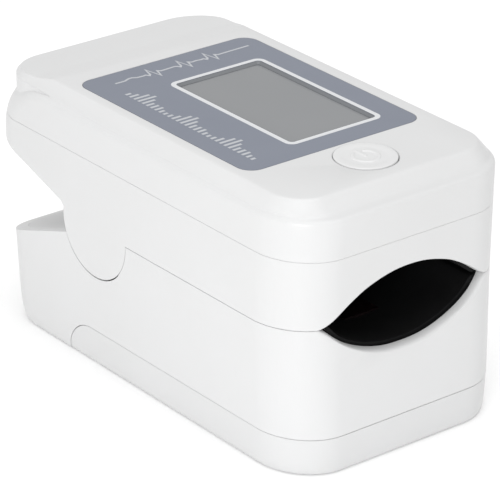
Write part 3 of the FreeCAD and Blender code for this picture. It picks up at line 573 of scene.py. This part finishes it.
def button_cap():
    cx, cy = 20.70, 0.24
    n = 192
    radii = [0.0] + [3.19 * (k / 74.0) for k in range(1, 75)]
    top = []
    for r in radii:
        base = 32.590 - 0.085 * (1 - smoothstep(2.25, 3.05, r))
        top.append((r, base, True))
    rim = [(3.30, 32.590), (3.44, 32.588), (3.52, 32.578), (3.57, 32.555), (3.592, 32.52), (3.60, 32.46)]
    rest = [(3.60, 30.82), (3.605, 30.80), (4.38, 30.80), (4.40, 30.78), (4.40, 30.22), (4.38, 30.20), (1.50, 30.20), (1.50, 29.86), (1.48, 29.84)]
    rows = top + [(r, z, False) for r, z in rim + rest]
    bm = bmesh.new()
    rings = []
    for r, z, is_top in rows:
        if r == 0.0:
            h = 0.105 * (1 - smoothstep(0.10, 0.27, symbol_distance(0.0, 0.0)))
            rings.append([bm.verts.new((cx * MM, cy * MM, (z + h) * MM))])
            continue
        ring = []
        for i in range(n):
            a = 2 * math.pi * i / n
            x, y = r * math.cos(a), r * math.sin(a)
            h = 0.105 * (1 - smoothstep(0.10, 0.27, symbol_distance(x, y))) if is_top and r < 2.2 else 0.0
            ring.append(bm.verts.new(((cx + x) * MM, (cy + y) * MM, (z + h) * MM)))
        rings.append(ring)
    for a, b in zip(rings, rings[1:]):
        for i in range(n):
            j = (i + 1) % n
            if len(a) == 1:
                bm.faces.new((a[0], b[i], b[j]))
            else:
                bm.faces.new((a[i], b[i], b[j], a[j]))
    bm.faces.new(rings[-1])
    for f in bm.faces:
        f.smooth = True
    bm.normal_update()
    for e in bm.edges:
        if len(e.link_faces) == 2 and e.calc_face_angle(0.0) > math.radians(50):
            e.smooth = False
    o = new_piece("power_button_cap", bm, M["white_button"], "power_button")
    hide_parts("power_button")
    return o


button_cap()

# ------------------------------------------------------------------ flat cable that bends between the jaws
def bending_cable():
    way = [(-2.6, 25.4), (-2.6, 21.2), (-5.0, 18.6), (-5.0, 16.6), (-3.0, 14.6), (-1.45, 13.9), (-1.45, 12.75)]
    line = [way[0]]
    for p, q, s in zip(way, way[1:], way[2:]):
        a, b = math.dist(p, q), math.dist(q, s)
        c = min(0.6, 0.45 * a, 0.45 * b)
        u = (q[0] + (p[0] - q[0]) * c / a, q[1] + (p[1] - q[1]) * c / a)
        v = (q[0] + (s[0] - q[0]) * c / b, q[1] + (s[1] - q[1]) * c / b)
        steps = max(1, int(math.dist(line[-1], u) / 0.3))
        last = line[-1]
        line += [(last[0] + (u[0] - last[0]) * k / steps, last[1] + (u[1] - last[1]) * k / steps) for k in range(1, steps + 1)]
        for k in range(1, 7):
            t = k / 6.0
            line.append(tuple((1 - t) ** 2 * u[i] + 2 * t * (1 - t) * q[i] + t * t * v[i] for i in (0, 1)))
    last = line[-1]
    line += [(last[0] + (way[-1][0] - last[0]) * k / 3.0, last[1] + (way[-1][1] - last[1]) * k / 3.0) for k in (1, 2, 3)]
    bm = bmesh.new()
    rows = []
    for i, (x, z) in enumerate(line):
        p, q = line[max(i - 1, 0)], line[min(i + 1, len(line) - 1)]
        d = math.dist(p, q)
        nx, nz = -(q[1] - p[1]) / d * 0.075, (q[0] - p[0]) / d * 0.075
        rows.append([bm.verts.new(((x + s * nx) * MM, y * MM, (z + s * nz) * MM)) for s, y in ((1, -3.0), (1, 3.0), (-1, 3.0), (-1, -3.0))])
    for a, b in zip(rows, rows[1:]):
        for k in range(4):
            bm.faces.new((a[k], a[(k + 1) % 4], b[(k + 1) % 4], b[k]))
    bm.faces.new(rows[0][::-1])
    bm.faces.new(rows[-1])
    bmesh.ops.recalc_face_normals(bm, faces=bm.faces)
    me = bpy.data.meshes.new("bending_cable")
    bm.to_mesh(me)
    bm.free()
    o = bpy.data.objects.new("bending_cable", me)
    scene.collection.objects.link(o)
    paint(o, M["amber_film"])
    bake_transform(o, "upper_jaw", "lower_jaw", (-3.8 * MM, 0, 21.0 * MM), (-4.4 * MM, 0, 16.2 * MM))
    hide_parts("flex_cable")


bending_cable()

# ------------------------------------------------------------------ floor and light
def area(name, loc, target, size, power, color=(1, 1, 1)):
    d = bpy.data.lights.new(name, "AREA")
    d.shape = "RECTANGLE"
    d.size, d.size_y = size
    d.energy = power
    d.color = color
    o = bpy.data.objects.new(name, d)
    scene.collection.objects.link(o)
    o.location = loc
    o.rotation_euler = (Vector(target) - Vector(loc)).to_track_quat("-Z", "Y").to_euler()
    return o


floor_mat = Mat("studio_floor")
fm = floor_mat
fm.color(fm.ramp(fm.noise(6.0, 2.0, 0.5), [(0.3, (0.89, 0.89, 0.89)), (0.7, (0.91, 0.91, 0.91))]))
fm.rough(fm.span(fm.noise(30.0, 2.0, 0.5), 0.55, 0.65))
fm.p.inputs["Emission Color"].default_value = (1.0, 1.0, 1.0, 1.0)
fm.p.inputs["Emission Strength"].default_value = 0.10
bm = bmesh.new()
bmesh.ops.create_grid(bm, x_segments=8, y_segments=8, size=3.0)
bmesh.ops.translate(bm, verts=bm.verts, vec=(0.0, 0.0, -0.00002))
me = bpy.data.meshes.new("floor")
bm.to_mesh(me)
bm.free()
floor = bpy.data.objects.new("floor", me)
scene.collection.objects.link(floor)
paint(floor, fm.m)

world = bpy.data.worlds.new("studio")
scene.world = world
world.use_nodes = True
world.node_tree.nodes["Background"].inputs[0].default_value = (1.0, 1.0, 1.0, 1)
world.node_tree.nodes["Background"].inputs[1].default_value = 0.77
area("key", (0.19, -0.235, 0.078), (0.0, 0, 0.016), (0.10, 0.10), 0.325)
area("top", (0.05, 0.0, 0.7), (0, 0, 0.02), (0.7, 0.7), 2.17)
scene.view_settings.view_transform = "Standard"
